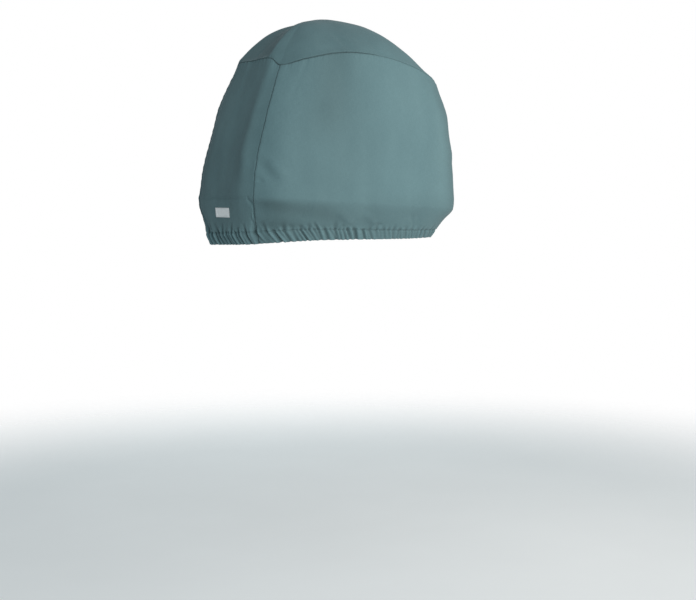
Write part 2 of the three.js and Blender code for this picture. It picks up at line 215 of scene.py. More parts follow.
def gather_depth(at, z):
    """The even swing of the gathers, shallower than in the solids and less regular."""
    turn = gather_turns(at, z)
    uneven = 0.75 + 0.3 * np.sin(1.7 * turn) + 0.25 * np.sin(0.83 * turn + 2)
    on_casing = 0.3 + 0.2 * smooth((STITCH_Z - z) / CASING_HEIGHT)
    fade = 1 - smooth((z - STITCH_Z) / (0.6 * (read_straight(GATHERS, "top", at) - STITCH_Z)))
    strength = np.where(z < STITCH_Z, on_casing, 0.3 * fade) * uneven
    swing = np.sin(2 * np.pi * turn + 0.8 * np.sin(1.3 * turn))
    return read_straight(GATHERS, "depth", at) * strength * swing


def fold_depth(fold, at, z):
    """One trough round the line between its two ends, shallower at the ends."""
    from_at, from_z = fold["start"]
    to_at, to_z = fold["end"]
    run_x = (to_at - from_at) * PLACE_LENGTH
    run_z = to_z - from_z
    near = np.where(np.abs(at - from_at) > 3, at - 6, at)
    x = (near - from_at) * PLACE_LENGTH
    on = np.clip((x * run_x + (z - from_z) * run_z) / (run_x**2 + run_z**2), 0, 1)
    away = np.hypot(x - on * run_x, z - from_z - on * run_z)
    ends = np.minimum(1, 0.35 + 4 * np.minimum(on, 1 - on))
    return fold["depth"] * ends * hump(away, fold["width"])


def wall_points(at, heights):
    """The wall as it hangs, with the gathers and folds that the solids have too."""
    step = 0.004
    base = wall_base(at, heights)
    along = wall_base(at + step, heights) - wall_base(at - step, heights)
    outward = np.stack([along[..., 1], -along[..., 0], 0 * along[..., 0]], -1)
    outward /= size_of(outward)
    place = np.mod(at, 6)[None, :] + 0 * base[..., 2]
    off = gather_depth(place, base[..., 2])
    for fold in FOLDS:
        off = off - fold_depth(fold, place, base[..., 2])
    return base + outward * off[..., None]


def wall_normals(at, heights):
    step = 0.006
    low = np.clip(np.array(heights) - 0.02, 0, TOP)
    high = np.clip(np.array(heights) + 0.02, 0, TOP)
    along = wall_points(at + step, heights) - wall_points(at - step, heights)
    up = wall_points(at, high) - wall_points(at, low)
    normal = np.cross(along, up)
    return normal / size_of(normal)


# What the cloth does between the gathers is finer than the solids. Each trough has a crease,
# with smaller ones between, and each crease has its own reach above the line of stitches.
def hem_creases():
    rng = np.random.default_rng(23)
    total = sum(row["count"] for row in GATHERS)
    creases = []
    turn = 0.3
    while turn < total - 0.3:
        aft_end = turn < 6.2 or turn > total - 6.2
        step = rng.uniform(1.0, 1.6) if aft_end else rng.uniform(0.75, 1.2)
        for part, share in ((0, 1.0), (0.5, 0.6), (0.78, 0.4)):
            if rng.random() < 0.35 + 0.65 * share:
                creases.append(dict(
                    turn=turn + part * step + rng.uniform(-0.1, 0.1), share=share * rng.uniform(0.6, 1.2),
                    width=rng.uniform(3.4, 4.6) * (1.2 if aft_end else 1), drop=rng.uniform(0.5, 1),
                    climb=rng.uniform(8, 42) * share, lean=rng.uniform(-0.6, 0.3),
                    turned=rng.uniform(0.0, 0.35)))
        turn += step
    return creases, total


HEM_CREASES, GATHER_COUNT = hem_creases()


def hem_run(at):
    """How far along the casing's stitches a place is from the aft middle, in millimetres."""
    marks = RINGS[STITCH]["marks"]
    return np.interp(at, [0, 1, 2, 3, 4, 5, 6], marks + [2 * marks[3] - run for run in marks[2::-1]])


def crease_depth(at, z):
    """Steep on the aft side of each crease and easy on its forward side."""
    depth = 0 * z
    turn = gather_turns(at, z)
    after, before = np.minimum(at + 0.02, 6), np.maximum(at - 0.02, 0)
    pitch = (hem_run(after) - hem_run(before)) / (gather_turns(after, z) - gather_turns(before, z))
    deep = read_straight(GATHERS, "depth", at) / 4.6
    above = z - STITCH_Z
    for crease in HEM_CREASES:
        away = np.mod(turn - crease["turn"] + GATHER_COUNT / 2, GATHER_COUNT) - GATHER_COUNT / 2
        if np.abs(away).min() > 1:
            continue
        away = away * pitch + crease["lean"] * np.maximum(above, 0)
        away = away + crease["turned"] * np.minimum(above, 0)
        up = np.clip(above / (crease["climb"] * (0.4 + 0.6 * deep)), 0, 1)
        down = 1 - (1 - crease["drop"]) * smooth(-above / CASING_HEIGHT)
        width = crease["width"] * (1 + 0.5 * up)
        strength = crease["share"] * (1 - up) ** 1.3 * down
        width = np.where(away > 0, width, 1.4 * width)
        valley = hump(away, width)
        banks = hump(np.abs(away) - 1.9 * width, width)
        depth = depth + strength * (valley - 0.4 * banks)
    aft_end = 1 + 0.6 * smooth((1.1 - fold_back(at)[0]) / 0.2)
    return 4.6 * (0.35 + 0.65 * deep) * aft_end * depth


def undulation(points):
    """Soft unevenness of hanging cloth, as waves through space, so it runs on across the seams."""
    rng = np.random.default_rng(5)
    off = 0 * points[..., 0]
    for wavelength, swing, count in ((230, 1.5, 8), (105, 0.65, 12), (48, 0.2, 16)):
        for _ in range(count):
            direction = rng.normal(size=3)
            direction /= np.linalg.norm(direction)
            phase = rng.uniform(0, 2 * np.pi)
            wave = np.sin(2 * np.pi / wavelength * (points @ direction) + phase)
            off = off + swing * math.sqrt(2 / count) * wave
    return off


# Forms that the motor's head presses into the walls, then sharper creases between them.
WALL_FORMS = [
    dict(start=(5.02, 110), end=(5.0, 420), depth=6.5, width=90),  # port aft corner
    dict(start=(0.98, 110), end=(0.98, 420), depth=2.5, width=90),  # aft corner drawn in
    dict(start=(1.95, 250), end=(1.93, 430), depth=-4.5, width=80),  # front corner filled
    dict(start=(4.05, 250), end=(4.07, 430), depth=-4.5, width=80),  # port front corner
    dict(start=(1.36, 530), end=(1.38, 330), depth=5.0, width=42),  # upper hollow
    dict(start=(1.56, 540), end=(1.6, 380), depth=-3.6, width=40),  # upper swell
    dict(start=(1.2, 500), end=(1.12, 300), depth=-2.5, width=30),  # aft side swell
    dict(start=(1.62, 330), end=(1.7, 170), depth=-3.0, width=50),  # lower swell
    dict(start=(1.1, 440), end=(1.5, 250), depth=2.4, width=26),  # long drag
    dict(start=(4.9, 450), end=(4.5, 250), depth=2.2, width=28),  # port drag
    dict(start=(4.66, 520), end=(4.6, 330), depth=3.5, width=38),  # port upper hollow
    dict(start=(0.68, 500), end=(0.62, 190), depth=-5, width=58),  # aft swell
    dict(start=(3.0, 440), end=(3.05, 220), depth=5.0, width=90),  # front hollow
]
WALL_CREASES = [
    dict(start=(1.015, 247), end=(1.085, 186), depth=5, width=10),  # pucker by the seam
    dict(start=(1.05, 250), end=(1.12, 200), depth=-3.6, width=10),  # bank of the pucker
    dict(start=(1.006, 199), end=(1.042, 186), depth=3.6, width=4),  # nick by the seam
    dict(start=(1.585, 164), end=(1.645, 164), depth=1.4, width=10),  # faint dent
    dict(start=(1.355, 100), end=(1.425, 58), depth=-4, width=8),  # light streak
    dict(start=(1.485, 90), end=(1.54, 60), depth=-3.2, width=7),  # second streak
    dict(start=(1.562, 60), end=(1.57, 54), depth=2.6, width=5),  # spot
    dict(start=(1.7, 90), end=(1.755, 46), depth=2.4, width=4),  # small pleat
    dict(start=(1.73, 90), end=(1.775, 46), depth=2.0, width=4),  # second pleat
    dict(start=(0.84, 139), end=(0.985, 118), depth=4.6, width=5),  # tuck by the seam
    dict(start=(0.985, 120), end=(0.985, 84), depth=4.6, width=5),  # tuck under it
    dict(start=(0.945, 92), end=(0.95, 74), depth=-2.2, width=7),  # bright end of the tuck
    dict(start=(-0.75, 139), end=(0.84, 139), depth=3.2, width=4.5),  # aft tuck
    dict(start=(4.97, 262), end=(4.9, 205), depth=2.4, width=12),  # port pucker
    dict(start=(4.4, 96), end=(4.33, 56), depth=-2.2, width=8),  # port streak
    dict(start=(2.06, 230), end=(2.2, 190), depth=2.0, width=13),  # front pucker
]
# The last is how far the crown seam's darkening reaches, partly dust and partly painted shade of its
# groove.
SEAM_RECESS, SEAM_REACH, SEAM_DUST_AND_SHADE_REACH = 2.2, 4.2, 2.4
STITCH_RECESS, CASING_SWELL, FOLD_RIDGE = 2.2, 1.5, 3.4


def seam_groove(distance):
    """How deep the cloth is pulled in by the thread at a distance from its seam."""
    return SEAM_RECESS * np.clip(1 - distance / SEAM_REACH, 0, 1) ** 1.6


def seam_pucker(distance, along):
    """Small waves that the thread draws into the cloth beside a seam."""
    waves = np.sin(2 * np.pi * along / 23 + 1.3 * np.sin(along / 61))
    waves = waves + 0.6 * np.sin(2 * np.pi * along / 9.7)
    return 0.5 * waves * np.exp(-distance / 13)


def seam_dust_and_shade(at):
    """How dark the crown seam is painted, partly dust and partly painted shade of its groove: darkest
    beside the aft corners, faint at the front.
    """
    near, _ = fold_back(at)
    return np.interp(near, [0, 0.75, 0.9, 1.4, 1.6, 2, 3], [0.15, 0.2, 1.2, 1.1, 0.35, 0.2, 0.3])


def crown_seam_depth(at):
    """The share of its full groove that the crown seam has, deeper where it is darker."""
    return 0.15 + 0.7 * seam_dust_and_shade(at)


def seam_drapes():
    """Soft upright waves that hang from the crown seam, each of its own width and length."""
    rng = np.random.default_rng(41)
    total = 2 * RINGS[TOP]["marks"][-1]
    drapes = []
    run = 0.0
    while run < total - 20:
        drapes.append(dict(run=run, depth=rng.uniform(-1.7, 1.7), width=rng.uniform(8, 17),
                           fall=rng.uniform(35, 120), lean=rng.uniform(-0.25, 0.25)))
        run += rng.uniform(22, 52)
    return drapes, total


SEAM_DRAPES, SEAM_TOTAL = seam_drapes()


def drape_depth(from_top, run):
    depth = 0 * from_top
    for drape in SEAM_DRAPES:
        away = np.mod(run - drape["run"] + SEAM_TOTAL / 2, SEAM_TOTAL) - SEAM_TOTAL / 2
        away = away + drape["lean"] * from_top
        fall = np.exp(-from_top / drape["fall"]) * smooth(from_top / 8 + 0.3)
        depth = depth + drape["depth"] * fall * hump(away, drape["width"])
    return depth


def corner_ridge(near, to_seam, z):
    """The soft ridge beside each corner seam, highest on the side panels by the aft seams."""
    height = np.interp(near, [0.99, 1.01, 1.5, 2], [3, 7.5, 3, 2]) * smooth((z - 50) / 60)
    reach = np.where(near > 1, 34, 20)
    return height * (np.exp(-to_seam / reach) - 0.25 * np.exp(-to_seam / 70))


def fold_ridge(level):
    """The rounded edge where the walls turn in, under the widest part of the motor's head."""
    past = (level - FOLD) * np.where(level > FOLD, 60, 45)
    ridge = np.exp(-np.abs(past) / np.where(past > 0, 26, 22))
    return FOLD_RIDGE * (ridge - 0.45) * smooth((level - 1.2) / 0.8) * smooth((4.6 - level) / 0.9)


def casing_form(z):
    """The casing's soft roll, with the line of stitches that draws it in along its top."""
    below = STITCH_Z + 1 - z
    roll = np.clip(np.sin(np.pi * np.clip(below / CASING_HEIGHT, 0, 1)), 0, 1) ** 0.6
    return CASING_SWELL * roll - STITCH_RECESS * hump(below, 2.2)


def wall_detail(at, heights, points, to_seam, from_top, run):
    """How far the dressed wall stands off the plain one."""
    place = np.mod(at, 6)[None, :] + 0 * points[..., 2]
    z = points[..., 2]
    level = np.array(heights)[:, None] + 0 * z
    off = undulation(points) * (0.25 + 0.75 * smooth((z - 60) / 80))
    off = off - crease_depth(place, z)
    for form in WALL_FORMS + WALL_CREASES:
        off = off - fold_depth(form, place, z)
    off = off - drape_depth(from_top, run)
    off = off + 1.1 * seam_pucker(to_seam, z) * smooth((z - 50) / 30) + 1.3 * seam_pucker(from_top, run)
    off = off - seam_groove(to_seam) - seam_groove(from_top) * crown_seam_depth(at)
    near, _ = fold_back(place)
    return off + corner_ridge(near, to_seam, z) + fold_ridge(level) + casing_form(z)


# Rows of points on a wall, counted in levels: close together at the hem and under the crown seam.
CASING_GAP, CASING_TOP, FIN, FIN_DROP = 3.4, 1.15, 9, 1.2
HEIGHTS = np.concatenate([
    np.linspace(0, 1, 16, endpoint=False), np.linspace(1, 2, 20, endpoint=False),
    np.linspace(2, 3, 13, endpoint=False), np.linspace(3, 4, 12, endpoint=False),
    np.linspace(4, 6, 38, endpoint=False), np.linspace(6, 6.9, 14, endpoint=False),
    [6.93, 6.955, 6.975, 6.99, 7]])


def crown_points(at, scales):
    """The crown, one row for each scale from 1 at its seam to 0 at the crest."""
    near, _ = fold_back(at)
    edge = wall_points(at, [TOP])[0]
    seam_z = read_table(CROWN, "seam_z", near)
    rows = []
    for scale in scales:
        reach = scale * (1 - read_straight(CROWN, "drawn", near) * smooth((1 - scale) / 0.3))
        rise = 1 - scale ** read_table(CROWN, "full", near)
        fade = max(0, 1 - (1 - scale) / 0.3) ** 2
        rows.append(np.stack([
            CREST_X + reach * (edge[:, 0] - CREST_X), reach * edge[:, 1],
            seam_z + (CREST_Z - seam_z) * rise - read_table(CROWN, "dip", near) * fade], -1))
    return np.array(rows)


def crown_normals(at, scales, step=0.006):
    along = crown_points(at + step, scales) - crown_points(at - step, scales)
    inward = (crown_points(at, np.maximum(np.array(scales) - 0.012, 0))
              - crown_points(at, np.minimum(np.array(scales) + 0.012, 1)))
    normal = np.cross(along, inward)
    return normal / size_of(normal)


def crown_root(at):
    """The line that the walls and the crown are sewn along, drawn in a little, and its inward way."""
    point = wall_points(at, [TOP])[0]
    mean = wall_normals(at, [TOP])[0] + crown_normals(at, [1.0])[0]
    mean /= size_of(mean)
    return point - 1.5 * SEAM_RECESS * mean, -mean


def panel_places(start, end, columns):
    """Columns from seam to seam, closer together beside the seams."""
    inner = np.linspace(0, 1, columns)[1:-1]
    edge = np.array([0.8, 1.7, 2.7, 4.0, 5.6]) / ((end - start) * PLACE_LENGTH)
    inner = inner[(inner > edge[-1] * 1.2) & (inner < 1 - edge[-1] * 1.2)]
    share = np.concatenate([[0], edge, inner, 1 - edge[::-1], [1]])
    return start + (end - start) * share


def row_lengths(points, axis):
    steps = np.linalg.norm(np.diff(points, axis=axis), axis=-1)
    zero = np.zeros_like(np.take(steps, [0], axis))
    return np.concatenate([zero, np.cumsum(steps, axis)], axis)


def top_run(at):
    """How far along the crown seam a place is from the aft middle, in millimetres."""
    marks = RINGS[TOP]["marks"]
    near, side = fold_back(at)
    run = np.interp(near, [0, 1, 2, 3], marks)
    return np.where(side < 0, run, 2 * marks[-1] - run)


def forward_painted_light(place):
    """The forward half of each side, painted paler as painted light, where the light on the side is
    strongest.
    """
    near, _ = fold_back(place)
    return smooth((near - 1.3) / 0.35) * (1 - smooth((near - 1.84) / 0.1))


def band_painted_shade(place, near, x, z):
    """Painted shade on the band below the fold, where the cloth turns in and faces down: patchy, and
    heaviest on the sides by the aft seams.
    """
    level = LEVELS[FOLD]
    fold_z = np.interp(x, [level["x_aft"], level["x_front"]], [level["z_aft"], level["z_front"]])
    band_shade_share = np.interp(near, [0, 0.95, 1.05, 1.2, 1.35, 1.6, 1.8, 2],
                      [-0.15, -0.1, 0.7, 0.75, 0.45, 0.1, 0, 0.2])
    patchy = 0.8 + 0.3 * np.sin(place * 21 + z / 17) * np.sin(place * 9 - z / 23)
    return band_shade_share * patchy * smooth((fold_z + 7 - z) / 26) * (0.3 + 0.7 * smooth((z - 40) / 20))


def wall_painted_shade_and_wear(at, points, to_seam, from_top):
    """Above 0 where the cloth is painted paler, below 0 where it is painted darker: painted light and shade
    on the gathers and creases, by the aft seams, on the band below the fold and on the forward half of each
    side, and darker seams that are partly dust and partly painted shade.
    """
    place = np.mod(at, 6)[None, :] + 0 * points[..., 2]
    z = points[..., 2]
    near, _ = fold_back(place)
    # Painted light on the ridges of the gathers, painted shade in the troughs of the gathers and creases.
    painted_shade_and_wear = 0.12 * gather_depth(place, z) - 0.26 * crease_depth(place, z)
    # Darker along the side seams, under the crown seam and along the casing's stitches: partly dust, partly
    # painted shade of their grooves.
    painted_shade_and_wear = painted_shade_and_wear - (0.8 + 0.5 * smooth((z - 160) / 160)) * hump(to_seam, 2.2)
    painted_shade_and_wear = painted_shade_and_wear - seam_dust_and_shade(at) * hump(from_top, SEAM_DUST_AND_SHADE_REACH) - 0.45 * hump(STITCH_Z + 1 - z, 1.8)
    # Painted shade on the band below the fold, and painted light on the forward half of each side.
    painted_shade_and_wear = painted_shade_and_wear - band_painted_shade(place, near, points[..., 0], z) + 0.35 * forward_painted_light(place) * smooth((z - 90) / 90)
    # Painted light on the sides beside the aft seams, and a darker upright strip high on each side.
    aft_side_painted_light = (near > 1) * (near < 1.5)
    painted_shade_and_wear = painted_shade_and_wear + 0.3 * np.exp(-to_seam / 60) * aft_side_painted_light * smooth((z - 120) / 60)
    painted_shade_and_wear = painted_shade_and_wear - 0.35 * hump(near - 1.27, 0.1) * smooth((z - 260) / 150)
    # Painted light on the aft panel's starboard end, next to its seam.
    aft_right_painted_light = smooth((place - 0.55) / 0.25) * smooth((1 - place) / 0.01)
    painted_shade_and_wear = painted_shade_and_wear + 0.3 * aft_right_painted_light * smooth((z - 120) / 60)
    return np.clip(painted_shade_and_wear, -1, 1)


# The elastic holds the hem lower at the aft corners and higher along the sides.
HEM_LINE = [
    dict(at=0, lift=-4), dict(at=0.5, lift=-2), dict(at=0.9, lift=0), dict(at=1.02, lift=2),
    dict(at=1.14, lift=6), dict(at=1.26, lift=8), dict(at=1.45, lift=6), dict(at=1.6, lift=3),
    dict(at=1.8, lift=0),
    dict(at=2.2, lift=0), dict(at=3.8, lift=0), dict(at=4.4, lift=4), dict(at=4.7, lift=2),
    dict(at=5, lift=-8), dict(at=5.5, lift=-7), dict(at=6, lift=-5),
]


def dressed_wall(at, heights, to_seam, from_top):
    solid = wall_points(at, heights)
    normal = wall_normals(at, heights)
    off = wall_detail(at, heights, solid, to_seam, from_top, top_run(at)[None, :])
    dressed = solid + normal * off[..., None]
    lift = read_table(HEM_LINE, "lift", np.mod(at, 6))
    dressed[..., 2] += lift[None, :] * (1 - smooth((solid[..., 2] - 30) / 55))
    return dressed, normal


def with_fins(grid, normal, painted_shade_and_wear):
    """Side edges turned in behind the seams, as seam allowances, short where the casing is."""
    deep = FIN_DROP + (FIN - FIN_DROP) * smooth((grid[..., 2] - 46) / 12)
    parts = []
    for edge, beside in ((0, 1), (-1, -2)):
        own = grid[:, beside] - grid[:, edge]
        own /= size_of(own)
        fin = [grid[:, edge] - normal[:, edge] * deep[:, edge, None] * share + own * 0.7 * share
               for share in (0.5, 1)]
        parts.append(np.stack(fin if edge else fin[::-1], 1))
    grid = np.concatenate([parts[0], grid, parts[1]], 1)
    return grid, np.pad(painted_shade_and_wear, ((0, 0), (2, 2)), mode="edge")


def wall_sheet(start, end, columns):
    """One wall panel, from the inside of its casing over the hem and up to the crown seam."""
    at = panel_places(start, end, columns)
    solid = wall_points(at, HEIGHTS)
    across = row_lengths(solid, 1)
    climb = row_lengths(solid, 0)
    to_seam = np.minimum(across, across[:, -1:] - across)
    from_top = climb[-1:] - climb
    outer, normal = dressed_wall(at, HEIGHTS, to_seam, from_top)
    root, inward = crown_root(at)
    outer[-1] = root
    half = CASING_GAP / 2
    turned = []
    for angle in (140, 90, 40):
        a = math.radians(angle)
        drop = np.array([0, 0, -half * math.sin(a)])
        turned.append(outer[0] - normal[0] * half * (1 - math.cos(a)) + drop)
    rows = int(np.searchsorted(HEIGHTS, CASING_TOP))
    inside = (outer[:rows:2] - normal[:rows:2] * CASING_GAP)[::-1]
    fin = [root + inward * FIN * share - np.array([0, 0, FIN_DROP * share]) for share in (0.5, 1)]
    grid = np.concatenate([inside, turned, outer, fin])
    out = np.concatenate([normal[:rows:2][::-1], normal[[0, 0, 0]], normal, normal[[-1, -1]]])
    painted_shade_and_wear = wall_painted_shade_and_wear(at, solid, to_seam, from_top)
    painted_shade_and_wear = np.pad(painted_shade_and_wear, ((len(inside) + 3, 2), (0, 0)), mode="edge")
    grid, painted_shade_and_wear = with_fins(grid, out, painted_shade_and_wear)
    return grid, painted_shade_and_wear, outer


def to_row_frame(points):
    """From millimetres about the middle of the hem to metres about the crest."""
    return (points + np.array([-CREST_X, 0, CREST_CLOTH - CREST_Z])) / 1000


def cloth_piece(name, grid, painted_shade_and_wear, uv, closed=False):
    """A grid of points as a mesh, with its UV map in metres and its painted shade and wear as an attribute.

    A closed piece goes all the way round, and its last row is drawn together in one point."""
    rows, columns = grid.shape[:2]
    points, uv, painted_shade_and_wear = grid.reshape(-1, 3), uv.reshape(-1, 2), painted_shade_and_wear.ravel()
    number = np.arange(rows * columns).reshape(rows, columns)
    if closed:
        number = np.concatenate([number, number[:, :1]], 1)
        points = np.concatenate([points, [grid[-1].mean(axis=0)]])
        uv = np.concatenate([uv, [[0, 0]]])
        painted_shade_and_wear = np.append(painted_shade_and_wear, painted_shade_and_wear[-1])
    a, b = number[:-1, :-1], number[:-1, 1:]
    c, d = number[1:, 1:], number[1:, :-1]
    faces = np.stack([a, b, c, d], -1).reshape(-1, 4).tolist()
    if closed:
        faces += [(start, end, rows * columns) for start, end in zip(number[-1], number[-1, 1:])]
    mesh = bpy.data.meshes.new(name)
    mesh.from_pydata(to_row_frame(points), [], faces)
    corners = np.empty(len(mesh.loops), int)
    mesh.loops.foreach_get("vertex_index", corners)
    mesh.uv_layers.new(name="UVMap").data.foreach_set("uv", uv[corners].ravel())
    mesh.attributes.new("painted_shade_and_wear", "FLOAT", "POINT").data.foreach_set("value", painted_shade_and_wear)
    mesh.shade_smooth()
    piece = bpy.data.objects.new(name, mesh)
    bpy.context.scene.collection.objects.link(piece)
    return piece


def wall_uv(grid):
    """Threads that run level round the panel and straight up it, in metres."""
    up = row_lengths(grid, 0).mean(axis=1)
    along = row_lengths(grid, 1)[len(grid) // 2]
    return np.stack(np.broadcast_arrays(along[None, :], up[:, None]), -1) / 1000


def give_thickness(piece, metres):
    solid = piece.modifiers.new("cloth thickness", "SOLIDIFY")
    solid.thickness = metres
    solid.offset = -1


class Nodes:
    """Short ways to add nodes to a tree. An input is a value, or a link from another node."""

    def __init__(self, tree):
        tree.nodes.clear()
        self.tree = tree

    def add(self, kind, inputs=None, **settings):
        node = self.tree.nodes.new(kind)
        for key, value in settings.items():
            setattr(node, key, value)
        for key, value in (inputs or {}).items():
            if isinstance(value, bpy.types.NodeSocket):
                self.tree.links.new(value, node.inputs[key])
            else:
                node.inputs[key].default_value = value
        return node

    def place(self):
        return self.add("ShaderNodeTexCoord").outputs["Object"]

    def cloth(self):
        """The piece's own UV map, in metres along and across its threads."""
        return self.add("ShaderNodeUVMap", uv_map="UVMap").outputs["UV"]

    # The cloth's attribute of painted light and shade, dust and wear.
    def painted_shade_and_wear(self):
        return self.add("ShaderNodeAttribute", attribute_name="painted_shade_and_wear").outputs["Fac"]

    def noise(self, vector, scale, detail, roughness=0.5):
        return self.add("ShaderNodeTexNoise", {
            "Vector": vector, "Scale": scale, "Detail": detail, "Roughness": roughness}).outputs["Fac"]

    def ribs(self, vector, scale, direction, distortion=0.0):
        return self.add("ShaderNodeTexWave", {"Vector": vector, "Scale": scale, "Distortion": distortion},
                        bands_direction=direction).outputs["Fac"]

    def stretched(self, vector, scale):
        return self.add("ShaderNodeMapping", {"Vector": vector, "Scale": scale}).outputs["Vector"]

    def math(self, operation, *values):
        return self.add("ShaderNodeMath", dict(enumerate(values)), operation=operation).outputs[0]

    def ranged(self, value, to_min, to_max, from_min=0.0, from_max=1.0, **settings):
        return self.add("ShaderNodeMapRange", {
            "Value": value, "From Min": from_min, "From Max": from_max, "To Min": to_min,
            "To Max": to_max}, **settings).outputs["Result"]

    def colour_between(self, share, first, second):
        return self.add("ShaderNodeMix", {0: share, 6: first, 7: second}, data_type="RGBA").outputs[2]

    def bump(self, height, strength, distance, **under):
        return self.add("ShaderNodeBump", {
            "Height": height, "Strength": strength, "Distance": distance, **under}).outputs["Normal"]

    def surface(self, inputs):
        shader = self.add("ShaderNodeBsdfPrincipled", inputs)
        self.add("ShaderNodeOutputMaterial", {"Surface": shader.outputs["BSDF"]})


def new_material(name):
    material = bpy.data.materials.new(name)
    material.use_nodes = True
    return material, Nodes(material.node_tree)


def canvas_material(name, colour, faded):
    """Matt coated canvas: a plain weave, thick and thin yarns, paler patches, and the painted light and
    shade and the wear that its attribute carries, with painted shade in its folds.
    """
    material, nodes = new_material(name)
    place = nodes.place()
    cloth = nodes.cloth()
    patches = nodes.noise(place, 5.5, 4.0, 0.55)
    streaks = nodes.noise(nodes.stretched(place, (11, 11, 1.6)), 1.0, 3.0)
    fade = nodes.ranged(nodes.math("ADD", patches, streaks), 0.0, 1.0, from_min=0.72, from_max=1.3)
    ground = nodes.colour_between(fade, colour, faded)

    weave = nodes.math("MULTIPLY", nodes.ribs(cloth, 420.0, "X"), nodes.ribs(cloth, 390.0, "Y"))
    warp_yarn = nodes.noise(nodes.stretched(cloth, (1300, 70, 1)), 1.0, 1.0)
    weft_yarn = nodes.noise(nodes.stretched(cloth, (70, 1200, 1)), 1.0, 1.0)
    yarn = nodes.math("ADD", warp_yarn, weft_yarn)
    shade = nodes.ranged(yarn, 0.9, 1.1, from_min=0.6, from_max=1.4)
    # The attribute's painted light and shade, dust and wear scale the colour.
    painted_shade_and_wear_tone = nodes.ranged(nodes.painted_shade_and_wear(), 0.48, 1.3, from_min=-1.0)
    gaps = nodes.ranged(weave, 0.9, 1.05)
    shade = nodes.math("MULTIPLY", nodes.math("MULTIPLY", shade, painted_shade_and_wear_tone), gaps)
    tone = nodes.add("ShaderNodeVectorMath", {0: ground, "Scale": shade}, operation="SCALE")

    soft = nodes.bump(nodes.noise(place, 65.0, 4.0, 0.6), 0.35, 0.0022)
    threads = nodes.math("MULTIPLY_ADD", yarn, 0.35, weave)
    nodes.surface({
        "Base Color": tone.outputs["Vector"], "Roughness": nodes.ranged(patches, 0.78, 0.95),
        "Normal": nodes.bump(threads, 0.45, 0.00018, Normal=soft), "Specular IOR Level": 0.28,
        "Sheen Weight": 0.1, "Sheen Roughness": 0.45})
    return material


canvas = canvas_material("teal canvas", (0.112, 0.199, 0.216, 1), (0.134, 0.231, 0.248, 1))

# Lockstitch in a matching thread runs along the top of the casing and beside every seam.
def stitch_tree():
    """Stitches along a line: each is a short bowed thread that sinks into the cloth at its ends."""
    tree = bpy.data.node_groups.new("stitches along a line", "GeometryNodeTree")
    tree.is_modifier = True
    face = tree.interface
    face.new_socket("Line", in_out="INPUT", socket_type="NodeSocketGeometry")
    for name in ("Pitch", "Stitch Length", "Thread Radius", "Sink", "Bow"):
        face.new_socket(name, in_out="INPUT", socket_type="NodeSocketFloat")
    face.new_socket("Seed", in_out="INPUT", socket_type="NodeSocketInt")
    face.new_socket("Thread", in_out="INPUT", socket_type="NodeSocketMaterial")
    face.new_socket("Stitches", in_out="OUTPUT", socket_type="NodeSocketGeometry")
    nodes = Nodes(tree)
    add = nodes.add
    given = add("NodeGroupInput").outputs
    path = add("GeometryNodeMeshToCurve", {"Mesh": given["Line"]})
    spots = add("GeometryNodeCurveToPoints", {"Curve": path.outputs["Curve"], "Length": given["Pitch"]},
                mode="LENGTH")
    half = nodes.math("MULTIPLY", given["Stitch Length"], 0.5)
    back = nodes.math("MULTIPLY", half, -1.0)
    down = nodes.math("MULTIPLY", given["Sink"], -1.0)
    start = add("ShaderNodeCombineXYZ", {"X": back, "Z": down})
    middle = add("ShaderNodeCombineXYZ", {"Z": given["Bow"]})
    end = add("ShaderNodeCombineXYZ", {"X": half, "Z": down})
    arc = add("GeometryNodeCurveQuadraticBezier", {
        "Resolution": 4, "Start": start.outputs[0], "Middle": middle.outputs[0], "End": end.outputs[0]})
    round_thread = add("GeometryNodeCurvePrimitiveCircle", {
        "Resolution": 6, "Radius": given["Thread Radius"]})
    stitch = add("GeometryNodeCurveToMesh", {
        "Curve": arc.outputs["Curve"], "Profile Curve": round_thread.outputs["Curve"], "Fill Caps": True})
    out = add("GeometryNodeInputNamedAttribute", {"Name": "out"}, data_type="FLOAT_VECTOR")
    along = add("FunctionNodeAlignRotationToVector", {"Vector": spots.outputs["Tangent"]}, axis="X")
    facing = add("FunctionNodeAlignRotationToVector", {
        "Rotation": along.outputs["Rotation"], "Vector": out.outputs["Attribute"]},
        axis="Z", pivot_axis="X")
    uneven = add("FunctionNodeRandomValue", {2: 0.86, 3: 1.06, "Seed": given["Seed"]}, data_type="FLOAT")
    row = add("GeometryNodeInstanceOnPoints", {
        "Points": spots.outputs["Points"], "Instance": stitch.outputs["Mesh"],
        "Rotation": facing.outputs["Rotation"], "Scale": uneven.outputs[1]})
    real = add("GeometryNodeRealizeInstances", {"Geometry": row.outputs["Instances"]})
    smoothed = add("GeometryNodeSetShadeSmooth", {"Geometry": real.outputs["Geometry"]})
    dressed = add("GeometryNodeSetMaterial", {
        "Geometry": smoothed.outputs["Geometry"], "Material": given["Thread"]})
    add("NodeGroupOutput", {"Stitches": dressed.outputs["Geometry"]})
    return tree


def thread_material(name, colour, pale):
    """Polyester thread: a slight shine, and lighter and darker lengths."""
    material, nodes = new_material(name)
    place = nodes.place()
    twist = nodes.noise(place, 2600.0, 1.0)
    lengths = nodes.math("MULTIPLY", nodes.noise(place, 60.0, 2.0), twist)
    share = nodes.ranged(lengths, 0.0, 1.0, from_min=0.12, from_max=0.4)
    nodes.surface({
        "Base Color": nodes.colour_between(share, colour, pale), "Roughness": 0.5,
        "Normal": nodes.bump(twist, 0.4, 0.0001), "Sheen Weight": 0.2})
    return material


def outward_of(grid):
    """The way out of the cloth at every point of a grid."""
    normal = np.cross(np.gradient(grid, axis=1), np.gradient(grid, axis=0))
    return normal / size_of(normal)


